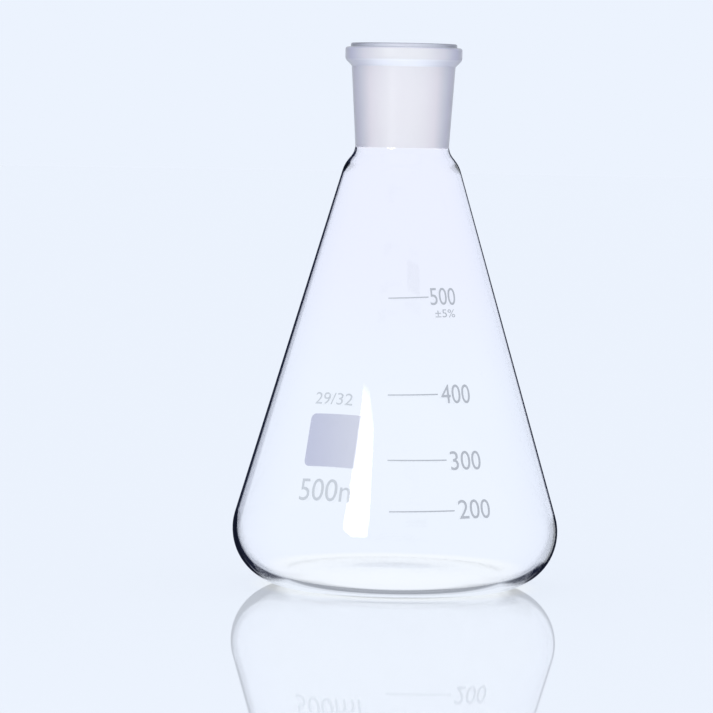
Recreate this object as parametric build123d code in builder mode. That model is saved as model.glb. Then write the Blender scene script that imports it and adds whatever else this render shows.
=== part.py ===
from build123d import *
import os
from math import asin, atan2, cos, hypot, sin

os.makedirs("parts", exist_ok=True)

# Conical flask, blown from one piece of borosilicate glass, with a ground conical socket.
# Millimetres, +Z up, with the origin on the axis in the plane that the foot rests on.

# Body
height = 175.0
body_diameter = 105.0  # widest, round the heel
heel_radius = 18.2  # outside rounding from the foot into the flank
flank_wall = 1.5
heel_build_up = 0.4  # how much rounder the inside heel is than an even wall makes it

# Bottom
floor_thickness = 2.3
push_up = 1.5  # how far the middle of the bottom is pressed up
foot_width = 3.0  # flat ring that stands on the bench

# Shoulder, as the two corners that its roundings replace
shoulder_step = 3.5  # from the neck's root out to the flank
shoulder_rise = 4.35
shoulder_wall = 1.9
shoulder_radius = 10.0  # outside, where the flank turns in
neck_root_radius = 5.5  # outside, where the shoulder turns up into the neck

# Ground socket, which narrows by 1 in 10 of its length
socket_diameter = 29.2  # at the rim
socket_length = 32.0
socket_taper = 0.1
socket_run_out = 2.65  # unground bore below the socket, down to the shoulder's corner

# Neck round the socket
neck_root_wall = 2.1
neck_top_wall = 2.35  # under the bead

# Rim: a bead round the neck, and a narrower lip on top of it
bead_wall = 4.2
bead_height = 3.95
bead_foot_radius = 0.8
bead_lower_radius = 2.0
bead_upper_radius = 0.8
lip_wall = 2.5
lip_height = 1.3
lip_root_radius = 0.3
lip_outer_radius = 0.6
lip_inner_radius = 0.4


def bore_radius(level):
    """Radius of the tapered bore at a height above the foot."""
    return (socket_diameter - (height - level) * socket_taper) / 2


def towards(start, end):
    """Direction from one point of the section to another."""
    return (end - start).normalized()


def inwards(direction):
    """Normal on the axis side of a line that climbs the outside of the section."""
    return Vector(-direction.Y, direction.X)


def crossing(start, direction, other_start, other_direction):
    """Point where two lines of the section meet."""
    gap = other_start - start
    spread = direction.X * other_direction.Y - direction.Y * other_direction.X
    along = (gap.X * other_direction.Y - gap.Y * other_direction.X) / spread
    return start + direction * along


# Outside corners of the section, X being the radius and Y the height
neck_root_level = height - socket_length - socket_run_out
neck_root = Vector(bore_radius(neck_root_level) + neck_root_wall, neck_root_level)
shoulder = neck_root + Vector(shoulder_step, -shoulder_rise)

# The flank runs down from the shoulder and touches the heel's circle
heel_centre = Vector(body_diameter / 2 - heel_radius, heel_radius)
spread = heel_centre - shoulder
flank_angle = atan2(spread.X, -spread.Y) + asin(heel_radius / hypot(spread.X, spread.Y))
flank_up = Vector(-sin(flank_angle), cos(flank_angle))
heel = crossing(shoulder, flank_up, Vector(0, 0), Vector(1, 0))
foot_edge = Vector(heel_centre.X - foot_width, 0)

# Rim corners
ledge_level = height - lip_height
bead_top = Vector(socket_diameter / 2 + bead_wall, ledge_level)
bead_bottom = bead_top - Vector(0, bead_height)
neck_top_radius = bore_radius(bead_bottom.Y) + neck_top_wall
neck_top = Vector(neck_top_radius, bead_bottom.Y - (bead_bottom.X - neck_top_radius))
lip_root = Vector(socket_diameter / 2 + lip_wall, ledge_level)
lip_outer = Vector(lip_root.X, height)
lip_inner = Vector(socket_diameter / 2, height)

# Inside corners: flank and shoulder lie a wall further in, the bore is the socket's cone
flare_up = towards(shoulder, neck_root)
inner_shoulder_start = shoulder + inwards(flare_up) * shoulder_wall
inner_flank_start = shoulder + inwards(flank_up) * flank_wall
bore_down = towards(lip_inner, Vector(bore_radius(0), 0))
inner_neck_root = crossing(lip_inner, bore_down, inner_shoulder_start, flare_up)
inner_shoulder = crossing(inner_flank_start, flank_up, inner_shoulder_start, flare_up)
inner_heel = crossing(inner_flank_start, flank_up, Vector(0, floor_thickness), Vector(1, 0))
floor_edge = Vector(foot_edge.X, floor_thickness)

with BuildPart() as flask:
    with BuildSketch(Plane.XZ):
        with BuildLine():
            # Round the outside from the foot, over the lip and down the inside to the floor
            glass = FilletPolyline(
                foot_edge,
                heel,
                shoulder,
                neck_root,
                neck_top,
                bead_bottom,
                bead_top,
                lip_root,
                lip_outer,
                lip_inner,
                inner_neck_root,
                inner_shoulder,
                inner_heel,
                floor_edge,
                radius=[
                    heel_radius,
                    shoulder_radius,
                    neck_root_radius,
                    bead_foot_radius,
                    bead_lower_radius,
                    bead_upper_radius,
                    lip_root_radius,
                    lip_outer_radius,
                    lip_inner_radius,
                    neck_root_radius + neck_root_wall,
                    shoulder_radius - shoulder_wall,
                    heel_radius - flank_wall + heel_build_up,
                ],
            )
            # The bottom is pressed up in the middle, level at the axis and at the foot's ring
            floor_middle = (0, push_up + floor_thickness)
            underside_middle = (0, push_up)
            Spline(glass @ 1, floor_middle, tangents=[(-1, 0), (-1, 0)])
            Line(floor_middle, underside_middle)
            Spline(underside_middle, glass @ 0, tangents=[(1, 0), (1, 0)])
        make_face()
    revolve(axis=Axis.Z)

flask.part.label = "flask"
export_step(flask.part, "parts/flask.step")
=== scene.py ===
"""Finish, print, light and camera for a conical laboratory flask with a ground socket."""

import logging
from dataclasses import dataclass
from enum import Enum
from math import asin, atan2, ceil, cos, degrees, pi, radians, sin, tan

import bpy
from mathutils import Matrix, Vector


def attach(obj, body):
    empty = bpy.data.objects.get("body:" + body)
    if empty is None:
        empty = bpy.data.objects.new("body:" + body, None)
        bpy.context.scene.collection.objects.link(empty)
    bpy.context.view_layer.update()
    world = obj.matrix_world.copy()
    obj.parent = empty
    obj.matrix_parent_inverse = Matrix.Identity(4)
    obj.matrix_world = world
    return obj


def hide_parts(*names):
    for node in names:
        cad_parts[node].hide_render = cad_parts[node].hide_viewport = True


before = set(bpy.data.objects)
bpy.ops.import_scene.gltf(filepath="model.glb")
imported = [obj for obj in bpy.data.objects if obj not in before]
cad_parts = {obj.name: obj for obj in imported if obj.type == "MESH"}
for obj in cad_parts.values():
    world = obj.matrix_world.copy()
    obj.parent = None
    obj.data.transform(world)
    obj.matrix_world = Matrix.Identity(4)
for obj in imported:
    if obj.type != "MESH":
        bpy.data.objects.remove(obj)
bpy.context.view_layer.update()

MM = 0.001
BODY = "root"
NODE = "flask"

Color = tuple[float, float, float]
Stops = tuple[tuple[float, Color], ...]
Span = tuple[float, float]

log = logging.getLogger("flask")


def linear(red: int, green: int, blue: int) -> Color:
    """Turns a display colour into the scene's linear one.

    Args:
        red: Red from 0 to 255.
        green: Green from 0 to 255.
        blue: Blue from 0 to 255.

    Returns:
        The same colour in linear light.
    """

    def channel(value: int) -> float:
        """Turns one display channel into linear light."""
        share = value / 255
        return share / 12.92 if share <= 0.04045 else ((share + 0.055) / 1.055) ** 2.4

    return channel(red), channel(green), channel(blue)


def opaque(color: Color) -> tuple[float, float, float, float]:
    """Adds a full alpha to a colour."""
    return (*color, 1.0)


# Colours of the studio
CLEAR = (1.0, 1.0, 1.0)
PALE = linear(236, 243, 254)
# Painted pool of light on the floor round the flask's foot
LIGHT_POOL_WHITE = linear(248, 252, 255)
DARK = linear(36, 42, 62)

# Borosilicate glass
GLASS_IOR = 1.473

# A ray's depth counts its events, so these lie between none and one, one and two, and three and four
SOME_DEPTH = 0.5
SECOND_DEPTH = 1.5
BODY_DEPTH = 3.5

# Painted light: how much brighter the ground is made to look through the whole body, and through matt glass
BODY_GAIN = 0.02
MATT_GAIN = 0.2

# Colours of worked glass by the share of the graze, darkening towards the edges as painted shade
NECK_SHADE_STOPS: Stops = (
    (0.05, linear(242, 237, 236)),
    (0.25, linear(242, 233, 237)),
    (0.43, linear(211, 212, 224)),
    (0.57, linear(186, 185, 206)),
    (0.8, linear(150, 149, 166)),
)
BEAD_SHADE_STOPS: Stops = (
    (0.05, linear(244, 240, 236)),
    (0.27, linear(230, 224, 232)),
    (0.35, linear(212, 211, 222)),
    (0.45, linear(190, 189, 211)),
    (0.57, linear(168, 167, 196)),
    (0.75, linear(155, 154, 172)),
)
BAND_SHADE_STOPS: Stops = (
    (0.1, linear(255, 255, 255)),
    (0.3, linear(235, 235, 243)),
    (0.6, linear(185, 185, 206)),
    (0.8, linear(178, 178, 196)),
)
LIP_SHADE_STOPS: Stops = (
    (0.0, linear(207, 205, 215)),
    (0.11, linear(190, 192, 203)),
    (0.25, linear(167, 169, 183)),
    (0.4, linear(137, 139, 154)),
    (0.5, linear(118, 119, 133)),
    (0.65, linear(92, 94, 108)),
)


class Zone(Enum):
    """Parts of the glass that are finished differently, numbered as the material slots."""

    CLEAR = 0
    GROUND = 1
    NECK = 2
    LIP = 3
    BAND = 4
    INSIDE = 5
    BEAD = 6


@dataclass(frozen=True)
class Rays:
    """Kinds of rays that reach the floor or the sky.

    Attributes:
        seen: 1 for rays that show the ground, 0 for those that only light things.
        through: 1 for rays that came through glass.
        edge: 1 for rays that the edge of the glass turned.
        power: Strength of the ground for each ray, raised by painted light where it is seen through glass.
    """

    seen: bpy.types.NodeSocket
    through: bpy.types.NodeSocket
    edge: bpy.types.NodeSocket
    power: bpy.types.NodeSocket


@dataclass(frozen=True)
class Nodes:
    """Builds the node tree of one material or world.

    Attributes:
        tree: The node tree that is filled.
    """

    tree: bpy.types.NodeTree

    def feed(self, socket: bpy.types.NodeSocket, value: object) -> None:
        """Links a socket, or sets its value.

        Args:
            socket: The input that is fed.
            value: Another node's output, or a plain value.
        """
        if isinstance(value, bpy.types.NodeSocket):
            self.tree.links.new(value, socket)
        else:
            socket.default_value = value

    def add(self, kind: str, settings: dict[str, object] | None = None, **inputs: object) -> bpy.types.Node:
        """Adds a node.

        Args:
            kind: Blender's name of the node type.
            settings: Properties of the node itself.
            **inputs: Socket values or links, with spaces in socket names written as underscores.

        Returns:
            The new node.
        """
        node = self.tree.nodes.new(kind)
        for key, value in (settings or {}).items():
            setattr(node, key, value)
        for key, value in inputs.items():
            self.feed(node.inputs[key.replace("_", " ")], value)
        return node

    def math(self, operation: str, *values: object) -> bpy.types.NodeSocket:
        """Adds a maths node.

        Args:
            operation: Blender's name of the operation.
            *values: Numbers or links, in the node's order.

        Returns:
            The node's result.
        """
        node = self.add("ShaderNodeMath", {"operation": operation})
        for socket, value in zip(node.inputs, values):
            self.feed(socket, value)
        return node.outputs[0]

    def product(self, first: object, *others: object) -> bpy.types.NodeSocket:
        """Multiplies numbers or links.

        Args:
            first: The first factor.
            *others: The other factors, at least one.

        Returns:
            The product.
        """
        result = first
        for other in others:
            result = self.math("MULTIPLY", result, other)
        return result

    def ease(self, value: bpy.types.NodeSocket, start: float, end: float) -> bpy.types.NodeSocket:
        """Rises smoothly from 0 to 1 between two values."""
        settings = {"interpolation_type": "SMOOTHSTEP"}
        return self.add("ShaderNodeMapRange", settings, Value=value, From_Min=start, From_Max=end).outputs[0]

    def ramp(self, factor: bpy.types.NodeSocket, stops: Stops) -> bpy.types.NodeSocket:
        """Adds a colour ramp.

        Args:
            factor: What drives the ramp.
            stops: Positions from 0 to 1 with their colours.

        Returns:
            The ramp's colour.
        """
        node = self.add("ShaderNodeValToRGB", Fac=factor)
        band = node.color_ramp
        for place, color in stops[1:-1]:
            band.elements.new(place).color = opaque(color)
        for element, (place, color) in ((band.elements[0], stops[0]), (band.elements[-1], stops[-1])):
            element.position = place
            element.color = opaque(color)
        return node.outputs["Color"]

    def blend(self, factor: bpy.types.NodeSocket, first: object, second: object) -> bpy.types.NodeSocket:
        """Blends two colours.

        Args:
            factor: Share of the second colour.
            first: A colour or a link.
            second: A colour or a link.

        Returns:
            The blended colour.
        """
        node = self.add("ShaderNodeMix", {"data_type": "RGBA"})
        share, below, above = node.inputs[0], node.inputs[6], node.inputs[7]
        self.feed(share, factor)
        for socket, value in ((below, first), (above, second)):
            self.feed(socket, value if isinstance(value, bpy.types.NodeSocket) else opaque(value))
        return node.outputs[2]

    def mix(self, factor: object, first: bpy.types.Node, second: bpy.types.Node) -> bpy.types.Node:
        """Mixes two shaders.

        Args:
            factor: Share of the second shader.
            first: Node of the first shader.
            second: Node of the second shader.

        Returns:
            The node that mixes them.
        """
        node = self.add("ShaderNodeMixShader")
        for socket, value in zip(node.inputs, (factor, first.outputs[0], second.outputs[0])):
            self.feed(socket, value)
        return node

    def glass(self, color: object, roughness: float, **inputs: object) -> bpy.types.Node:
        """Adds a shader of clear glass.

        Args:
            color: Its tint, as a colour with alpha or a link.
            roughness: How widely it scatters light.
            **inputs: Further inputs of the shader.

        Returns:
            The shader's node.
        """
        return self.add(
            "ShaderNodeBsdfPrincipled",
            Base_Color=color,
            Roughness=roughness,
            IOR=GLASS_IOR,
            Transmission_Weight=1.0,
            **inputs,
        )

    def graze(self) -> bpy.types.NodeSocket:
        """Tells how much a face is seen from the side, from 0 to 1."""
        return self.add("ShaderNodeLayerWeight").outputs["Facing"]

    def place(self) -> bpy.types.NodeSocket:
        """Gives the point on the piece that is shaded."""
        return self.add("ShaderNodeTexCoord").outputs["Object"]

    def rays(self) -> Rays:
        """Sorts the rays that reach the floor or the sky.

        Returns:
            The sorted rays.
        """
        path = self.add("ShaderNodeLightPath").outputs
        depth = path["Transmission Depth"]
        through = self.math("GREATER_THAN", depth, SOME_DEPTH)
        seen = self.math("MAXIMUM", path["Is Camera Ray"], path["Is Glossy Ray"])
        edge = self.product(
            self.math("GREATER_THAN", path["Glossy Depth"], SOME_DEPTH),
            self.math("LESS_THAN", depth, BODY_DEPTH),
            self.math("LESS_THAN", path["Diffuse Depth"], SOME_DEPTH),
            path["Is Singular Ray"],
        )
        # Painted light: the ground is brightened for rays through the whole body and through matt glass
        body = self.product(self.math("GREATER_THAN", depth, BODY_DEPTH), BODY_GAIN)
        matt = self.product(self.math("SUBTRACT", through, path["Is Singular Ray"]), MATT_GAIN)
        gain = self.math("ADD", body, self.math("MAXIMUM", matt, 0.0))
        return Rays(
            seen=self.math("MAXIMUM", seen, path["Is Transmission Ray"]),
            through=through,
            edge=edge,
            power=self.math("ADD", 1.0, gain),
        )

    def finish(self, surface: bpy.types.Node) -> None:
        """Connects a shader to the material's output."""
        self.add("ShaderNodeOutputMaterial", Surface=surface.outputs[0])


def blank_material(name: str) -> tuple[bpy.types.Material, Nodes]:
    """Makes a material with an empty node tree.

    Args:
        name: The material's name.

    Returns:
        The material and a builder for its nodes.
    """
    material = bpy.data.materials.new(name)
    material.use_nodes = True
    material.node_tree.nodes.clear()
    return material, Nodes(material.node_tree)


@dataclass(frozen=True)
class OuterGlass:
    """Fire-polished outside of the flask, with painted shade that darkens its sides where light grazes them.

    Attributes:
        name: The material's name.
        shade: Colour of the painted dark edge.
        faint_edge_shade: Faint colour next to the edge, a painted shade.
        tone: Fainter colour of the upper half.
        tone_rise: Heights between which that colour comes in.
        faint_edge_shade_start: Share of the graze at which the faint painted shade begins.
        edge_start: Share of the graze at which the edge begins.
        blend: How softly the edge begins.
        foot: Height up to which the bottom stays clear.
        fade: Height over which the edge comes in above that.
    """

    name: str = "clear_glass"
    shade: Color = linear(70, 70, 100)
    faint_edge_shade: Color = linear(238, 239, 254)
    tone: Color = linear(254, 251, 255)
    tone_rise: Span = (60.0 * MM, 110.0 * MM)
    faint_edge_shade_start: float = 0.25
    edge_start: float = 0.87
    blend: float = 0.02
    foot: float = 2.0 * MM
    fade: float = 8.0 * MM

    def material(self) -> bpy.types.Material:
        """Builds the material.

        Returns:
            The finished material.
        """
        material, nodes = blank_material(self.name)
        up = nodes.add("ShaderNodeSeparateXYZ", Vector=nodes.place()).outputs[2]
        graze = nodes.graze()
        above = nodes.ease(up, self.foot, self.foot + self.fade)
        # Painted shade: the tint turns to the shade colour where the glass is seen edge-on, with a fainter
        # shade just before it
        edge = nodes.ease(graze, self.edge_start - self.blend, self.edge_start + self.blend)
        edge = nodes.product(edge, above)
        faint_edge_shade = nodes.product(nodes.ease(graze, self.faint_edge_shade_start, self.edge_start), above)
        tint = nodes.blend(nodes.ease(up, *self.tone_rise), CLEAR, self.tone)
        tint = nodes.blend(edge, nodes.blend(faint_edge_shade, tint, self.faint_edge_shade), self.shade)
        nodes.finish(nodes.glass(tint, 0.0))
        return material


@dataclass(frozen=True)
class InnerGlass:
    """Clear inside of the flask.

    Attributes:
        name: The material's name.
    """

    name: str = "inner_glass"

    def material(self) -> bpy.types.Material:
        """Builds the material.

        Returns:
            The finished material.
        """
        material, nodes = blank_material(self.name)
        nodes.finish(nodes.glass(opaque(CLEAR), 0.0))
        return material


@dataclass(frozen=True)
class SoftGlass:
    """Worked glass round the ground socket, which scatters light a little and carries painted shade towards
    its edges.

    Attributes:
        name: The material's name.
        stops: Colours by the share of the graze, darkening towards the edges as painted shade.
        roughness: How widely it scatters light.
    """

    name: str
    stops: Stops
    roughness: float = 0.3

    def material(self) -> bpy.types.Material:
        """Builds the material.

        Returns:
            The finished material.
        """
        material, nodes = blank_material(self.name)
        # Painted shade: the ramp darkens the glass where it is seen edge-on
        nodes.finish(nodes.glass(nodes.ramp(nodes.graze(), self.stops), self.roughness))
        return material


@dataclass(frozen=True)
class GroundGlass:
    """Matt surface left by grinding the socket.

    Attributes:
        name: The material's name.
        color: Pale colour of the ground surface.
        roughness: How widely it scatters light.
        grain: Size of the grinding marks.
        detail: How many finer sizes of marks there are.
        relief: Depth of the marks.
        strength: Share of that depth that shows.
    """

    name: str = "ground_glass"
    color: Color = linear(255, 254, 254)
    roughness: float = 0.5
    grain: float = 0.25 * MM
    detail: float = 2.0
    relief: float = 0.02 * MM
    strength: float = 0.2

    def material(self) -> bpy.types.Material:
        """Builds the material.

        Returns:
            The finished material.
        """
        material, nodes = blank_material(self.name)
        place = nodes.place()
        grit = nodes.add("ShaderNodeTexNoise", Vector=place, Scale=1 / self.grain, Detail=self.detail)
        height = grit.outputs[0]
        bump = nodes.add("ShaderNodeBump", Strength=self.strength, Distance=self.relief, Height=height)
        nodes.finish(nodes.glass(opaque(self.color), self.roughness, Normal=bump.outputs[0]))
        return material


@dataclass(frozen=True)
class FiredEnamel:
    """Thin grey print fired onto the glass.

    Attributes:
        name: The material's name.
        left: Colour on the left.
        right: Colour on the right.
        change: Distances from the front's middle, to the right, between which it changes.
        roughness: How widely its gloss spreads.
        ior: Refractive index.
    """

    name: str
    left: Color
    right: Color
    change: Span
    roughness: float = 0.04
    ior: float = 1.5

    def material(self) -> bpy.types.Material:
        """Builds the material.

        Returns:
            The finished material.
        """
        material, nodes = blank_material(self.name)
        across = nodes.add("ShaderNodeSeparateXYZ", Vector=nodes.place()).outputs[0]
        color = nodes.blend(nodes.ease(across, *self.change), self.left, self.right)
        nodes.finish(
            nodes.add("ShaderNodeBsdfPrincipled", Base_Color=color, Roughness=self.roughness, IOR=self.ior)
        )
        return material


@dataclass(frozen=True)
class PaleFloor:
    """Pale glossy table that looks the same colour to its far edge.

    Attributes:
        name: The material's name.
        color: The colour that it shows.
        lit: Share of that colour that comes from the lamps, and so takes shadows.
        mirror: Share of light that it mirrors.
        mirror_roughness: How blurred it mirrors.
        light_pool_radius: Radius of the painted pool of light, whiter ground round the foot where the glass
            would gather light.
        spread: How far that fades to both sides.
    """

    name: str = "pale_floor"
    color: Color = PALE
    lit: float = 0.15
    mirror: float = 0.36
    mirror_roughness: float = 0.03
    light_pool_radius: float = 44.0 * MM
    spread: float = 5.0 * MM

    def material(self) -> bpy.types.Material:
        """Builds the material.

        Returns:
            The finished material.
        """
        material, nodes = blank_material(self.name)
        rays = nodes.rays()
        distance = nodes.add("ShaderNodeVectorMath", {"operation": "LENGTH"}, Vector=nodes.place())
        out = distance.outputs["Value"]
        # Painted light: the floor is whiter inside a ring round the foot
        far = nodes.ease(out, self.light_pool_radius - self.spread, self.light_pool_radius + self.spread)
        tint = nodes.blend(far, LIGHT_POOL_WHITE, self.color)
        glow = nodes.add("ShaderNodeEmission", Color=tint, Strength=rays.power)
        matt = nodes.add("ShaderNodeBsdfDiffuse", Color=opaque(self.color))
        sheen = nodes.add("ShaderNodeBsdfGlossy", Color=opaque(CLEAR), Roughness=self.mirror_roughness)
        base = nodes.mix(nodes.product(rays.seen, 1 - self.lit), matt, glow)
        table = nodes.mix(rays.through, nodes.mix(self.mirror, base, sheen), glow)
        nodes.finish(nodes.mix(rays.edge, table, nodes.add("ShaderNodeBsdfTransparent")))
        return material


def deselect() -> None:
    """Leaves edit mode and deselects every object."""
    if bpy.context.object and bpy.context.object.mode != "OBJECT":
        bpy.ops.object.mode_set(mode="OBJECT")
    bpy.ops.object.select_all(action="DESELECT")


def activate(piece: bpy.types.Object) -> None:
    """Makes one object the only selected and the active one.

    Args:
        piece: The object.
    """
    deselect()
    piece.select_set(True)
    bpy.context.view_layer.objects.active = piece


def edit_all() -> None:
    """Opens the active object in edit mode with all of it selected."""
    bpy.ops.object.mode_set(mode="EDIT")
    bpy.ops.mesh.select_all(action="SELECT")


def apply_place() -> None:
    """Moves the place, turn and size of the selected object into its mesh."""
    bpy.ops.object.transform_apply(location=True, rotation=True, scale=True)


def smooth(piece: bpy.types.Object, angle: float) -> None:
    """Smooths a piece's faces across edges flatter than an angle in degrees."""
    activate(piece)
    bpy.ops.object.shade_smooth_by_angle(angle=radians(angle))


def draw(points: list[Vector], name: str) -> bpy.types.Object:
    """Draws a wire from point to point.

    Args:
        points: The points in order.
        name: The new object's name.

    Returns:
        The wire, left in object mode with all of it selected in edit mode.
    """
    deselect()
    bpy.ops.mesh.primitive_plane_add(size=MM, location=points[0])
    wire = bpy.context.object
    wire.name = name
    apply_place()
    edit_all()
    bpy.ops.mesh.merge(type="CENTER")
    for here, there in zip(points, points[1:]):
        bpy.ops.mesh.extrude_region_move(TRANSFORM_OT_translate={"value": there - here})
    bpy.ops.mesh.select_all(action="SELECT")
    bpy.ops.object.mode_set(mode="OBJECT")
    return wire


def spin_whole(steps: int, angle: float) -> None:
    """Spins all that is selected in edit mode round the upright axis."""
    bpy.ops.mesh.spin(steps=steps, angle=angle, center=(0.0, 0.0, 0.0), axis=(0.0, 0.0, 1.0))


def rounded(corners: list[Vector], radii: list[float], turn_step: float, run_step: float) -> list[Vector]:
    """Follows straight runs joined by tangent arcs.

    Args:
        corners: Points of the run, the first and the last being its ends.
        radii: One radius for each corner between the ends.
        turn_step: Largest turn in radians between two points of an arc.
        run_step: Largest gap between two points of a straight run.

    Returns:
        The points along the run.
    """
    points = [corners[0].copy()]

    def run_to(end: Vector) -> None:
        """Adds evenly spaced points up to the end of a straight run.

        Args:
            end: The run's last point.
        """
        start = points[-1].copy()
        count = max(1, ceil((end - start).length / run_step))
        points.extend(start.lerp(end, k / count) for k in range(1, count + 1))

    for before, corner, after, radius in zip(corners, corners[1:], corners[2:], radii):
        arrive = (corner - before).normalized()
        leave = (after - corner).normalized()
        turn = atan2(arrive.x * leave.y - arrive.y * leave.x, arrive.dot(leave))
        side = 1 if turn > 0 else -1
        start = corner - arrive * radius * tan(abs(turn) / 2)
        centre = start + Vector((-arrive.y, arrive.x)) * radius * side
        run_to(start)
        count = max(2, ceil(abs(turn) / turn_step))
        spoke = start - centre
        points.extend(centre + Matrix.Rotation(turn * k / count, 2) @ spoke for k in range(1, count + 1))
    run_to(corners[-1])
    return points


def crossing(start: Vector, along: Vector, other: Vector, other_along: Vector) -> Vector:
    """Finds where two lines of the section meet.

    Args:
        start: A point of the first line.
        along: Its direction.
        other: A point of the second line.
        other_along: Its direction.

    Returns:
        The point that both lines share.
    """
    gap = other - start
    spread = along.x * other_along.y - along.y * other_along.x
    return start + along * ((gap.x * other_along.y - gap.y * other_along.x) / spread)


@dataclass(frozen=True)
class GlassSection:
    """Half section of the blown glass, with x as the radius and y as the height.

    Attributes:
        height: From the foot to the rim.
        body_diameter: Widest, round the heel.
        heel_radius: Outside rounding from the foot into the flank.
        flank_wall: Thickness of the flank.
        heel_build_up: How much rounder the inside heel is than an even wall makes it.
        floor_thickness: Thickness of the bottom.
        push_up: How far the middle of the bottom is pressed up.
        foot_width: Width of the ring that stands on the bench.
        shoulder_step: From the neck's root out to the flank.
        shoulder_rise: Height of the shoulder between its corners.
        shoulder_wall: Thickness of the shoulder.
        shoulder_radius: Outside rounding where the flank turns in.
        neck_root_radius: Outside hollow where the shoulder turns up.
        socket_diameter: Of the ground socket at the rim.
        socket_length: Of the ground zone.
        socket_taper: Change of diameter per length.
        socket_run_out: Clear bore below the ground zone, down to the shoulder's corner.
        neck_root_wall: Thickness at the foot of the neck.
        neck_top_wall: Thickness under the bead.
        bead_wall: Thickness at the bead.
        bead_height: Of the bead's upright side.
        bead_foot_radius: Hollow between the neck and the bead's slope.
        bead_lower_radius: Rounding of the bead's lower edge.
        bead_upper_radius: Rounding of its upper edge.
        lip_wall: Thickness of the lip on top of the bead.
        lip_height: How far the lip stands above the bead.
        lip_root_radius: Hollow between bead and lip.
        lip_outer_radius: Rounding of the lip's outer edge.
        lip_inner_radius: Rounding of its inner edge.
    """

    height: float = 175.0 * MM
    body_diameter: float = 105.0 * MM
    heel_radius: float = 18.2 * MM
    flank_wall: float = 1.5 * MM
    heel_build_up: float = 0.4 * MM
    floor_thickness: float = 2.3 * MM
    push_up: float = 1.5 * MM
    foot_width: float = 3.0 * MM
    shoulder_step: float = 3.5 * MM
    shoulder_rise: float = 4.35 * MM
    shoulder_wall: float = 1.9 * MM
    shoulder_radius: float = 10.0 * MM
    neck_root_radius: float = 5.5 * MM
    socket_diameter: float = 29.2 * MM
    socket_length: float = 32.0 * MM
    socket_taper: float = 0.1
    socket_run_out: float = 2.65 * MM
    neck_root_wall: float = 2.1 * MM
    neck_top_wall: float = 2.35 * MM
    bead_wall: float = 4.2 * MM
    bead_height: float = 3.95 * MM
    bead_foot_radius: float = 0.8 * MM
    bead_lower_radius: float = 2.0 * MM
    bead_upper_radius: float = 0.8 * MM
    lip_wall: float = 2.5 * MM
    lip_height: float = 1.3 * MM
    lip_root_radius: float = 0.3 * MM
    lip_outer_radius: float = 0.6 * MM
    lip_inner_radius: float = 0.4 * MM

    def bore_radius(self, level: float) -> float:
        """Gives the radius of the tapered bore at a height."""
        return (self.socket_diameter - (self.height - level) * self.socket_taper) / 2

    def ledge(self) -> float:
        """Gives the height of the bead's top, on which the lip stands."""
        return self.height - self.lip_height

    def neck_root(self) -> Vector:
        """Gives the outside corner between shoulder and neck."""
        level = self.height - self.socket_length - self.socket_run_out
        return Vector((self.bore_radius(level) + self.neck_root_wall, level))

    def shoulder(self) -> Vector:
        """Gives the outside corner between flank and shoulder."""
        return self.neck_root() + Vector((self.shoulder_step, -self.shoulder_rise))

    def heel_centre(self) -> Vector:
        """Gives the centre of the heel's rounding."""
        return Vector((self.body_diameter / 2 - self.heel_radius, self.heel_radius))

    def flank_angle(self) -> float:
        """Gives the flank's angle from upright, in radians."""
        gap = self.heel_centre() - self.shoulder()
        return atan2(gap.x, -gap.y) + asin(self.heel_radius / gap.length)

    def flank_radius(self, level: float) -> float:
        """Gives the outside radius of the straight flank at a height."""
        corner = self.shoulder()
        return corner.x + (corner.y - level) * tan(self.flank_angle())

    def outline(self, turn_step: float, run_step: float) -> list[Vector]:
        """Lists points round the section, from the axis under the bottom to the axis on the floor.

        Args:
            turn_step: Largest turn in radians between two points of an arc.
            run_step: Largest gap between two points of a straight run.

        Returns:
            The points in order.
        """
        shoulder, neck_root = self.shoulder(), self.neck_root()
        flank_up = Vector((-sin(self.flank_angle()), cos(self.flank_angle())))
        flare_up = (neck_root - shoulder).normalized()
        level = Vector((1.0, 0.0))
        foot_edge = self.heel_centre().x - self.foot_width
        heel = crossing(shoulder, flank_up, Vector((0.0, 0.0)), level)
        mouth = self.socket_diameter / 2
        bead_top = Vector((mouth + self.bead_wall, self.ledge()))
        bead_bottom = bead_top - Vector((0.0, self.bead_height))
        neck_top_radius = self.bore_radius(bead_bottom.y) + self.neck_top_wall
        neck_top = Vector((neck_top_radius, bead_bottom.y - (bead_bottom.x - neck_top_radius)))
        lip_inner = Vector((mouth, self.height))
        bore_down = (Vector((self.bore_radius(0.0), 0.0)) - lip_inner).normalized()
        shoulder_in = shoulder + Vector((-flare_up.y, flare_up.x)) * self.shoulder_wall
        flank_in = shoulder + Vector((-flank_up.y, flank_up.x)) * self.flank_wall
        corners = [
            Vector((foot_edge, 0.0)),
            heel,
            shoulder,
            neck_root,
            neck_top,
            bead_bottom,
            bead_top,
            Vector((mouth + self.lip_wall, self.ledge())),
            Vector((mouth + self.lip_wall, self.height)),
            lip_inner,
            crossing(lip_inner, bore_down, shoulder_in, flare_up),
            crossing(flank_in, flank_up, shoulder_in, flare_up),
            crossing(flank_in, flank_up, Vector((0.0, self.floor_thickness)), level),
            Vector((foot_edge, self.floor_thickness)),
        ]
        radii = [
            self.heel_radius,
            self.shoulder_radius,
            self.neck_root_radius,
            self.bead_foot_radius,
            self.bead_lower_radius,
            self.bead_upper_radius,
            self.lip_root_radius,
            self.lip_outer_radius,
            self.lip_inner_radius,
            self.neck_root_radius + self.neck_root_wall,
            self.shoulder_radius - self.shoulder_wall,
            self.heel_radius - self.flank_wall + self.heel_build_up,
        ]
        count = ceil(foot_edge / run_step)
        shares = [k / count for k in range(count)]

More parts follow.
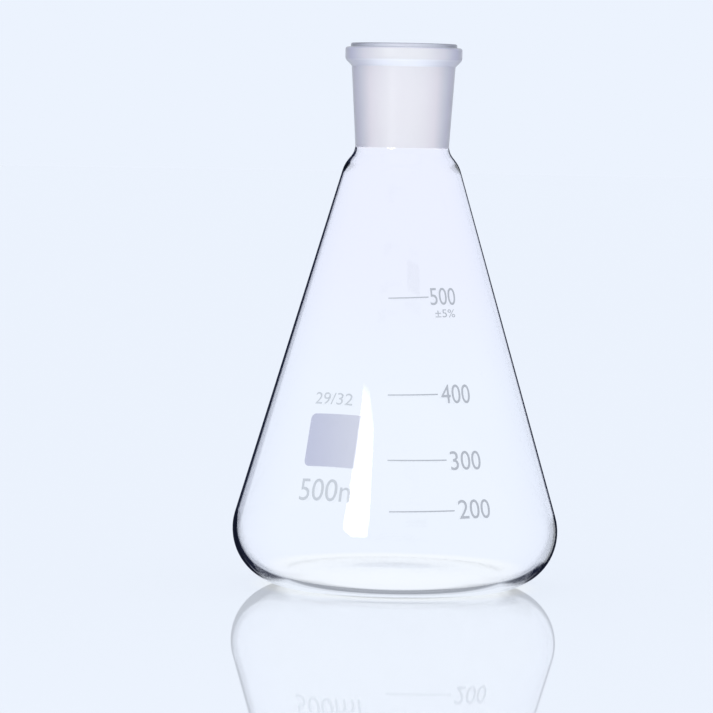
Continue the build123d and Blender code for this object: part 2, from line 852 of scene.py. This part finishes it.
        def bottom(share: float, lift: float) -> Vector:
            """Gives a point of the pressed-up bottom, from the axis at 0 to the foot at 1."""
            rise = 1 - share * share * (3 - 2 * share)
            return Vector((foot_edge * share, lift + self.push_up * rise))

        under = [bottom(share, 0.0) for share in shares]
        over = [bottom(share, self.floor_thickness) for share in reversed(shares)]
        return under + rounded(corners, radii, turn_step, run_step) + over


@dataclass
class GlassBody:
    """The flask itself, spun from its section.

    Attributes:
        section: Sizes of the glass.
        around: Faces round the axis.
        turn_step: Largest turn of the section between two rings, in degrees.
        run_step: Largest gap between two rings on a straight run.
        smoothed: Angle up to which faces are smoothed, in degrees.
        weld: Gap that closes where the spin meets itself.
        ground_top: How far below the rim the ground zone starts.
        ground_foot: Height at which it ends.
        band_height: Of the slope that joins the bead to the neck.
        outer_lean: How far the direction that tells outside from inside points down, per length outwards.
    """

    section: GlassSection
    around: int = 192
    turn_step: float = 5.0
    run_step: float = 2.5 * MM
    smoothed: float = 180.0
    weld: float = 0.002 * MM
    ground_top: float = 0.4 * MM
    ground_foot: float = 141.8 * MM
    band_height: float = 2.2 * MM
    outer_lean: float = 0.5

    def build(self) -> bpy.types.Object:
        """Models the glass and dresses it.

        Returns:
            The finished piece.
        """
        piece = self.spin(self.section.outline(radians(self.turn_step), self.run_step))
        smooth(piece, self.smoothed)
        self.dress(piece)
        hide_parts(NODE)
        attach(piece, BODY)
        return piece

    def spin(self, outline: list[Vector]) -> bpy.types.Object:
        """Draws the section and spins it round the axis.

        Args:
            outline: Points of the section, from axis to axis.

        Returns:
            The closed shell.
        """
        piece = draw([Vector((point.x, 0.0, point.y)) for point in outline], "flask_glass")
        edit_all()
        spin_whole(self.around, 2 * pi)
        bpy.ops.mesh.select_all(action="SELECT")
        bpy.ops.mesh.remove_doubles(threshold=self.weld)
        bpy.ops.mesh.normals_make_consistent(inside=False)
        bpy.ops.object.mode_set(mode="OBJECT")
        return piece

    def dress(self, piece: bpy.types.Object) -> None:
        """Gives each zone of the glass its finish.

        Args:
            piece: The closed shell.
        """
        finishes = {
            Zone.CLEAR: OuterGlass(),
            Zone.GROUND: GroundGlass(),
            Zone.NECK: SoftGlass("neck_glass", NECK_SHADE_STOPS),
            Zone.LIP: SoftGlass("lip_glass", LIP_SHADE_STOPS),
            Zone.BAND: SoftGlass("band_glass", BAND_SHADE_STOPS),
            Zone.INSIDE: InnerGlass(),
            Zone.BEAD: SoftGlass("bead_glass", BEAD_SHADE_STOPS),
        }
        for zone in Zone:
            piece.data.materials.append(finishes[zone].material())
        for face in piece.data.polygons:
            face.material_index = self.zone(face.center, face.normal).value

    def zone(self, place: Vector, normal: Vector) -> Zone:
        """Names the zone that a face is in.

        Args:
            place: The face's middle.
            normal: Its direction.

        Returns:
            The zone.
        """
        ledge = self.section.ledge()
        bead_foot = ledge - self.section.bead_height
        outwards = Vector((place.x, place.y, 0.0)).normalized() - Vector((0.0, 0.0, self.outer_lean))
        inside = normal.dot(outwards) < 0
        if place.z > ledge or (inside and place.z > self.section.height - self.ground_top):
            return Zone.LIP
        if inside:
            return Zone.GROUND if place.z > self.ground_foot else Zone.INSIDE
        if place.z > bead_foot - self.band_height:
            return Zone.BEAD if place.z > bead_foot else Zone.BAND
        return Zone.NECK if place.z > self.ground_foot else Zone.CLEAR


@dataclass(frozen=True)
class Spot:
    """A place on the outside of the flank.

    Attributes:
        along: Distance round the glass from the front, to the right.
        level: Height above the bench.
    """

    along: float
    level: float


@dataclass(frozen=True)
class VolumeLine:
    """A line round part of the flank that marks a volume.

    Attributes:
        name: The piece's name.
        level: Height of the line's middle.
        start: Angle from the front at its left end, in degrees.
        end: Angle from the front at its right end, in degrees.
        rise: How much higher its right end lies than its left one.
    """

    name: str
    level: float
    start: float
    end: float
    rise: float


@dataclass(frozen=True)
class Writing:
    """A row of plain figures.

    Attributes:
        name: The piece's name.
        text: The figures.
        spot: Where their middle lies.
        tall: Height of a figure.
        wide: Width of the whole row.
    """

    name: str
    text: str
    spot: Spot
    tall: float
    wide: float


@dataclass(frozen=True)
class Patch:
    """A plain patch with rounded corners to write on.

    Attributes:
        name: The piece's name.
        spot: Where its middle lies.
        tall: Its height up the slope.
        wide: Its width.
        corner: Radius of its corners.
        corner_steps: Faces round a corner.
    """

    name: str
    spot: Spot
    tall: float
    wide: float
    corner: float
    corner_steps: int = 8


@dataclass
class Print:
    """Everything that is printed on the front of the flask.

    Attributes:
        section: Sizes of the glass that carries the print.
        glass: The finished shell.
        thickness: Of the fired enamel.
        lift: Gap that keeps the enamel off the glass.
        line_width: Width of the volume lines.
        stand_off: How far a flat print is held off the glass before it is wrapped on.
        line_stand_off: The same for a volume line.
        strip: Width of the upright strips that a print is cut into.
        layer: Height of the level ones.
        curve_steps: Points on a curve of a figure.
        smoothed: Angle up to which faces are smoothed, in degrees.
        figure_ink: Enamel of the lines and figures.
        patch_ink_and_highlight: Enamel of the patch, lighter to the right by painted light from the
            highlight.
        lines: The volume lines.
        writings: The rows of figures.
        patch: The patch.
    """

    section: GlassSection
    glass: bpy.types.Object
    thickness: float = 0.03 * MM
    lift: float = 0.01 * MM
    line_width: float = 0.4 * MM
    stand_off: float = 2.0 * MM
    line_stand_off: float = 1.0 * MM
    strip: float = 0.7 * MM
    layer: float = 2.0 * MM
    curve_steps: int = 6
    smoothed: float = 40.0
    figure_ink: FiredEnamel = FiredEnamel(
        "figure_enamel", linear(206, 212, 220), linear(187, 192, 201), (-15.0 * MM, 10.0 * MM)
    )
    # The patch's enamel lightens to the right: painted light, where the lamp's highlight spreads over it
    patch_ink_and_highlight: FiredEnamel = FiredEnamel(
        "patch_enamel", linear(196, 200, 222), linear(214, 217, 231), (-30.0 * MM, -9.0 * MM)
    )
    lines: tuple[VolumeLine, ...] = (
        VolumeLine("line_200", 28.75 * MM, -2.2, 21.8, 0.4 * MM),
        VolumeLine("line_300", 44.35 * MM, -3.4, 20.3, 0.2 * MM),
        VolumeLine("line_400", 64.5 * MM, -4.4, 18.8, 0.4 * MM),
        VolumeLine("line_500", 94.6 * MM, -6.4, 17.6, 0.55 * MM),
    )
    writings: tuple[Writing, ...] = (
        Writing("figures_200", "200", Spot(26.05 * MM, 29.35 * MM), 6.1 * MM, 11.3 * MM),
        Writing("figures_300", "300", Spot(22.8 * MM, 44.3 * MM), 6.1 * MM, 10.8 * MM),
        Writing("figures_400", "400", Spot(19.1 * MM, 64.8 * MM), 6.1 * MM, 10.2 * MM),
        Writing("figures_500", "500", Spot(14.3 * MM, 95.1 * MM), 5.6 * MM, 8.9 * MM),
        Writing("figures_tolerance", "±5%", Spot(15.2 * MM, 89.8 * MM), 2.6 * MM, 7.0 * MM),
        Writing("figures_socket", "29/32", Spot(-21.0 * MM, 62.6 * MM), 3.8 * MM, 13.5 * MM),
        Writing("figures_capacity", "500ml", Spot(-20.9 * MM, 34.4 * MM), 7.1 * MM, 22.5 * MM),
    )
    patch: Patch = Patch("writing_patch", Spot(-20.7 * MM, 49.7 * MM), 17.0 * MM, 18.8 * MM, 1.8 * MM)

    def build(self) -> list[bpy.types.Object]:
        """Prints the graduation, the plain figures and the patch.

        Returns:
            The finished pieces.
        """
        ink = self.figure_ink.material()
        pieces = [self.ink(self.print_line(line), ink) for line in self.lines]
        pieces += [self.ink(self.print_writing(writing), ink) for writing in self.writings]
        pieces.append(self.ink(self.print_patch(self.patch), self.patch_ink_and_highlight.material()))
        return pieces

    def ink(self, piece: bpy.types.Object, ink: bpy.types.Material) -> bpy.types.Object:
        """Gives a print its enamel and fixes it to the flask.

        Args:
            piece: The print.
            ink: Its enamel.

        Returns:
            The same piece.
        """
        piece.data.materials.clear()
        piece.data.materials.append(ink)
        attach(piece, BODY)
        return piece

    def print_line(self, line: VolumeLine) -> bpy.types.Object:
        """Prints a volume line.

        Args:
            line: Its place and size.

        Returns:
            The finished shape.
        """
        lean = self.section.flank_angle()
        radius = self.section.flank_radius(line.level)
        up = Vector((-sin(lean), 0.0, cos(lean))) * self.line_width / 2
        out = Vector((cos(lean), 0.0, sin(lean))) * self.line_stand_off
        foot = Vector((radius, 0.0, line.level)) + out
        piece = draw([foot - up, foot + up], line.name)
        edit_all()
        span = radians(line.end - line.start)
        spin_whole(ceil(degrees(span)), -span)
        bpy.ops.object.mode_set(mode="OBJECT")
        middle = Matrix.Rotation(-span / 2, 4, "Z")
        pivot = Matrix.Translation((0.0, 0.0, line.level))
        tilt = Matrix.Rotation(line.rise / (radius * span), 4, "X")
        turn = Matrix.Rotation(radians(line.start + line.end) / 2 - pi / 2, 4, "Z")
        piece.matrix_world = turn @ pivot @ tilt @ pivot.inverted() @ middle
        return self.wrap(piece, "NEAREST_SURFACEPOINT")

    def print_writing(self, writing: Writing) -> bpy.types.Object:
        """Prints a row of plain figures.

        Args:
            writing: The figures, their place and size.

        Returns:
            The finished shape.
        """
        deselect()
        bpy.ops.object.text_add(location=(0.0, 0.0, 0.0))
        letters = bpy.context.object
        letters.data.body = writing.text
        letters.data.resolution_u = self.curve_steps
        bpy.ops.object.convert(target="MESH")
        piece = bpy.context.object
        piece.name = writing.name
        sides, levels = zip(*((vertex.co.x, vertex.co.y) for vertex in piece.data.vertices))
        low = Vector((min(sides), min(levels), 0.0))
        high = Vector((max(sides), max(levels), 0.0))
        size = high - low
        fit = Matrix.Diagonal((writing.wide / size.x, writing.tall / size.y, 1.0, 1.0))
        piece.matrix_world = fit @ Matrix.Translation(-(low + high) / 2)
        apply_place()
        return self.lay(piece, writing)

    def print_patch(self, patch: Patch) -> bpy.types.Object:
        """Prints a plain patch.

        Args:
            patch: Its place and size.

        Returns:
            The finished shape.
        """
        deselect()
        bpy.ops.mesh.primitive_plane_add(size=1.0, location=(0.0, 0.0, 0.0))
        piece = bpy.context.object
        piece.name = patch.name
        piece.scale = (patch.wide, patch.tall, 1.0)
        apply_place()
        edit_all()
        bpy.ops.mesh.bevel(offset=patch.corner, segments=patch.corner_steps, affect="VERTICES")
        bpy.ops.object.mode_set(mode="OBJECT")
        return self.lay(piece, patch)

    def lay(self, piece: bpy.types.Object, design: Writing | Patch) -> bpy.types.Object:
        """Lays a flat print on the flank.

        Args:
            piece: The flat print, centred on the origin.
            design: Its place and size.

        Returns:
            The same piece, wrapped on the glass.
        """
        self.cut(piece, design.wide, Vector((1.0, 0.0, 0.0)), self.strip)
        self.cut(piece, design.tall, Vector((0.0, 1.0, 0.0)), self.layer)
        radius = self.section.flank_radius(design.spot.level)
        stand = Matrix.Rotation(pi / 2 - self.section.flank_angle(), 4, "X")
        place = Matrix.Translation((0.0, -radius, design.spot.level))
        off = Matrix.Translation((0.0, 0.0, self.stand_off))
        piece.matrix_world = Matrix.Rotation(design.spot.along / radius, 4, "Z") @ place @ stand @ off
        return self.wrap(piece, "PROJECT")

    def wrap(self, piece: bpy.types.Object, method: str) -> bpy.types.Object:
        """Wraps a sheet on the glass and gives it its thickness.

        Args:
            piece: The sheet, held a little off the glass.
            method: How its points find the glass.

        Returns:
            The same piece, finished.
        """
        wrap = piece.modifiers.new("wrap", "SHRINKWRAP")
        wrap.target = self.glass
        wrap.wrap_method = method
        if method == "PROJECT":
            wrap.use_project_z = True
            wrap.use_positive_direction = False
            wrap.use_negative_direction = True
        wrap.offset = self.lift
        wrap.wrap_mode = "ABOVE_SURFACE"
        wall = piece.modifiers.new("thickness", "SOLIDIFY")
        wall.thickness = self.thickness
        wall.offset = 1.0
        activate(piece)
        for modifier in list(piece.modifiers):
            bpy.ops.object.modifier_apply(modifier=modifier.name)
        apply_place()
        edit_all()
        bpy.ops.mesh.normals_make_consistent(inside=False)
        bpy.ops.object.mode_set(mode="OBJECT")
        smooth(piece, self.smoothed)
        return piece

    def cut(self, piece: bpy.types.Object, span: float, along: Vector, step: float) -> None:
        """Cuts a flat print into strips so that it can follow the glass.

        Args:
            piece: The flat print.
            span: Its size across the cuts.
            along: Direction across the cuts.
            step: Width of a strip.
        """
        activate(piece)
        bpy.ops.object.mode_set(mode="EDIT")
        count = ceil(span / step)
        for k in range(1, count):
            bpy.ops.mesh.select_all(action="SELECT")
            bpy.ops.mesh.bisect(plane_co=along * (span * (k / count - 0.5)), plane_no=along)
        bpy.ops.object.mode_set(mode="OBJECT")


@dataclass(frozen=True)
class Softbox:
    """A lamp that shows as the tall highlight on the flank and fades towards its border.

    Attributes:
        name: The lamp's name.
        azimuth: Direction of the lamp from the axis, in degrees from the front to the left.
        reach: Distance from the axis.
        corners: Outline in its own plane, in millimetres: distance to the right, and height.
        border: Width of the fading border.
        strength: Brightness inside the border, as the gloss shows it.
        fill: Brightness with which it lights matt surfaces.
    """

    name: str = "key_softbox"
    azimuth: float = 31.0
    reach: float = 500.0 * MM
    corners: tuple[tuple[float, float], ...] = (
        (-22, 313),
        (40, 315),
        (100, 306),
        (113, 270),
        (114, 92),
        (20, 80),
        (-44, 188),
        (-58, 243),
        (-36, 272),
        (-24, 292),
    )
    border: float = 14.0 * MM
    strength: float = 15.0
    fill: float = 2.0

    def build(self) -> None:
        """Models the lamp and hangs it."""
        outline = [Vector((side * MM, 0.0, up * MM)) for side, up in self.corners]
        lamp = draw(outline, self.name)
        edit_all()
        bpy.ops.mesh.edge_face_add()
        bpy.ops.mesh.inset(thickness=self.border, depth=0.0)
        bpy.ops.mesh.normals_make_consistent(inside=False)
        bpy.ops.object.mode_set(mode="OBJECT")
        inner = [vertex.select for vertex in lamp.data.vertices]
        glow = lamp.data.attributes.new("glow", "FLOAT", "POINT")
        for point, is_inner in zip(glow.data, inner):
            point.value = float(is_inner)
        turn = Matrix.Rotation(-radians(self.azimuth), 4, "Z")
        lamp.matrix_world = turn @ Matrix.Translation((0.0, -self.reach, 0.0))
        lamp.data.materials.append(self.material())
        lamp.visible_camera = False
        lamp.visible_shadow = False

    def material(self) -> bpy.types.Material:
        """Builds the lamp's glow, which shows in one mirror at a time and not through the glass.

        Returns:
            The finished material.
        """
        material, nodes = blank_material(self.name)
        share = nodes.add("ShaderNodeAttribute", {"attribute_name": "glow"}).outputs["Fac"]
        path = nodes.add("ShaderNodeLightPath").outputs
        outside = nodes.math("LESS_THAN", path["Transmission Depth"], SOME_DEPTH)
        direct = nodes.math("LESS_THAN", path["Glossy Depth"], SECOND_DEPTH)
        extra = nodes.product(path["Is Glossy Ray"], self.strength - self.fill)
        power = nodes.product(share, outside, direct, nodes.math("ADD", extra, self.fill))
        glow = nodes.add("ShaderNodeEmission", Color=opaque(CLEAR), Strength=power)
        both = nodes.add("ShaderNodeAddShader")
        nodes.feed(both.inputs[0], glow.outputs[0])
        nodes.feed(both.inputs[1], nodes.add("ShaderNodeBsdfTransparent").outputs[0])
        nodes.finish(both)
        return material


@dataclass(frozen=True)
class DarkCards:
    """Dark cards behind the flask, which only the edges of the glass show.

    A direction is given by its parts across, ahead and up, each from -1 to 1.

    Attributes:
        left: How far the left card reaches to the side.
        right: How far the right one reaches.
        sides: Parts across between which the left card's reach turns into the right one's.
        low: Parts down at which the right card reaches as far as the left one, and at which it starts to.
        blur: How softly the cards end.
        lift: How much a part up counts towards the side.
        mirrored: How much further the cards reach in what the outside of the glass mirrors.
        table: How far the pale table reaches to the side, per part down.
        table_blur: How softly it ends to the side.
        table_end: Parts down at which it is gone, and at which it is still whole.
        under: Darkness of the card below.
        under_start: Parts down between which that card begins.
        under_end: Parts down at which it is gone, and at which it is still whole.
        front: Parts ahead between which everything begins.
    """

    left: float = 0.325
    right: float = 0.19
    sides: Span = (-0.05, 0.05)
    low: Span = (0.4, 0.25)
    blur: float = 0.03
    lift: float = 0.7
    mirrored: float = 0.8
    table: float = 0.5
    table_blur: float = 0.02
    table_end: Span = (0.62, 0.55)
    under: float = 0.65
    under_start: Span = (0.5, 0.6)
    under_end: Span = (0.84, 0.76)
    front: Span = (0.0, 0.2)

    def shade(self, nodes: Nodes, through: bpy.types.NodeSocket) -> bpy.types.NodeSocket:
        """Works out how dark the room is in each direction.

        Args:
            nodes: Builder for the world's nodes.
            through: 1 for rays that came through glass, 0 for those mirrored by its outside.

        Returns:
            The share of darkness.
        """
        way = nodes.add("ShaderNodeTexCoord").outputs["Generated"]
        across, ahead, up = nodes.add("ShaderNodeSeparateXYZ", Vector=way).outputs
        down = nodes.math("MAXIMUM", nodes.product(up, -1.0), 0.0)
        lift = nodes.product(nodes.math("MAXIMUM", up, 0.0), self.lift)
        square = nodes.math("ADD", nodes.product(across, across), nodes.product(lift, lift))
        aside = nodes.math("SQRT", square)
        rightness = nodes.product(nodes.ease(across, *self.sides), nodes.ease(down, *self.low))
        reach = nodes.math("ADD", nodes.product(rightness, self.right - self.left), self.left)
        widen = nodes.math("SUBTRACT", 1 + self.mirrored, nodes.product(through, self.mirrored))
        inside_card = nodes.math("SUBTRACT", nodes.product(reach, widen), aside)
        inside_table = nodes.math("SUBTRACT", nodes.product(down, self.table), aside)
        table = nodes.product(
            nodes.ease(inside_table, -self.table_blur, self.table_blur),
            nodes.ease(down, *self.table_end),
        )
        pale = nodes.product(nodes.ease(down, *self.under_start), 1 - self.under)
        return nodes.product(
            nodes.ease(inside_card, -self.blur, self.blur),
            nodes.math("SUBTRACT", 1.0, table),
            nodes.ease(down, *self.under_end),
            nodes.math("SUBTRACT", 1.0, pale),
            nodes.ease(ahead, *self.front),
        )


@dataclass(frozen=True)
class Camera:
    """The camera, where the photograph was taken from.

    Attributes:
        back: Its distance in front of the axis.
        up: Its height.
        look_down: Downward angle of its aim, in degrees.
        look_left: Angle by which it aims left of the axis, in degrees.
        roll: Its roll, in degrees.
        sensor: Width of its sensor in millimetres.
        focal: Focal length in millimetres.
        near: Distance from which it sees.
        far: Distance up to which it sees.
    """

    back: float = 1400.0 * MM
    up: float = 154.4 * MM
    look_down: float = 3.288
    look_left: float = 0.55
    roll: float = 1.062
    sensor: float = 36.0
    focal: float = 219.4
    near: float = 0.1
    far: float = 30.0

    def build(self) -> None:
        """Places the camera."""
        data = bpy.data.cameras.new("camera")
        data.sensor_width = self.sensor
        data.lens = self.focal
        data.clip_start = self.near
        data.clip_end = self.far
        eye = bpy.data.objects.new("camera", data)
        bpy.context.scene.collection.objects.link(eye)
        aim = Matrix.Rotation(radians(self.look_left), 4, "Z")
        tilt = Matrix.Rotation(radians(90 - self.look_down), 4, "X")
        roll = Matrix.Rotation(radians(self.roll), 4, "Z")
        eye.matrix_world = Matrix.Translation((0.0, -self.back, self.up)) @ aim @ tilt @ roll
        bpy.context.scene.camera = eye


@dataclass(frozen=True)
class Studio:
    """Floor, light and camera.

    Attributes:
        floor_radius: Of the round table top.
        floor_sides: Of the outline of that top.
        sky_strength: Brightness with which the sky lights things.
        cards: The dark cards behind the flask.
    """

    floor_radius: float = 9.0
    floor_sides: int = 96
    sky_strength: float = 0.93
    cards: DarkCards = DarkCards()

    def build(self) -> None:
        """Sets up everything round the flask."""
        self.floor()
        self.sky()
        Softbox().build()
        Camera().build()
        bpy.context.scene.view_settings.view_transform = "Standard"

    def floor(self) -> None:
        """Lays the round floor."""
        deselect()
        bpy.ops.mesh.primitive_circle_add(
            vertices=self.floor_sides, radius=self.floor_radius, fill_type="NGON"
        )
        floor = bpy.context.object
        floor.name = "floor"
        floor.data.materials.append(PaleFloor().material())

    def sky(self) -> None:
        """Lights the scene evenly and shows the pale ground behind everything."""
        world = bpy.data.worlds.new("studio")
        bpy.context.scene.world = world
        world.use_nodes = True
        world.node_tree.nodes.clear()
        nodes = Nodes(world.node_tree)
        rays = nodes.rays()
        lamp = nodes.add("ShaderNodeBackground", Color=opaque(CLEAR), Strength=self.sky_strength)
        ground = nodes.add("ShaderNodeBackground", Color=opaque(PALE), Strength=rays.power)
        dark = nodes.add("ShaderNodeBackground", Color=opaque(DARK), Strength=1.0)
        shade = nodes.product(rays.edge, self.cards.shade(nodes, rays.through))
        both = nodes.mix(shade, nodes.mix(rays.seen, lamp, ground), dark)
        nodes.add("ShaderNodeOutputWorld", Surface=both.outputs[0])


def main() -> None:
    """Builds the flask, its print and the studio."""
    logging.basicConfig(level=logging.INFO, format="%(name)s: %(message)s")
    section = GlassSection()
    glass = GlassBody(section).build()
    for piece in [glass, *Print(section, glass).build()]:
        log.info("%s: %d faces", piece.name, len(piece.data.polygons))
    Studio().build()


if __name__ == "__main__":
    main()
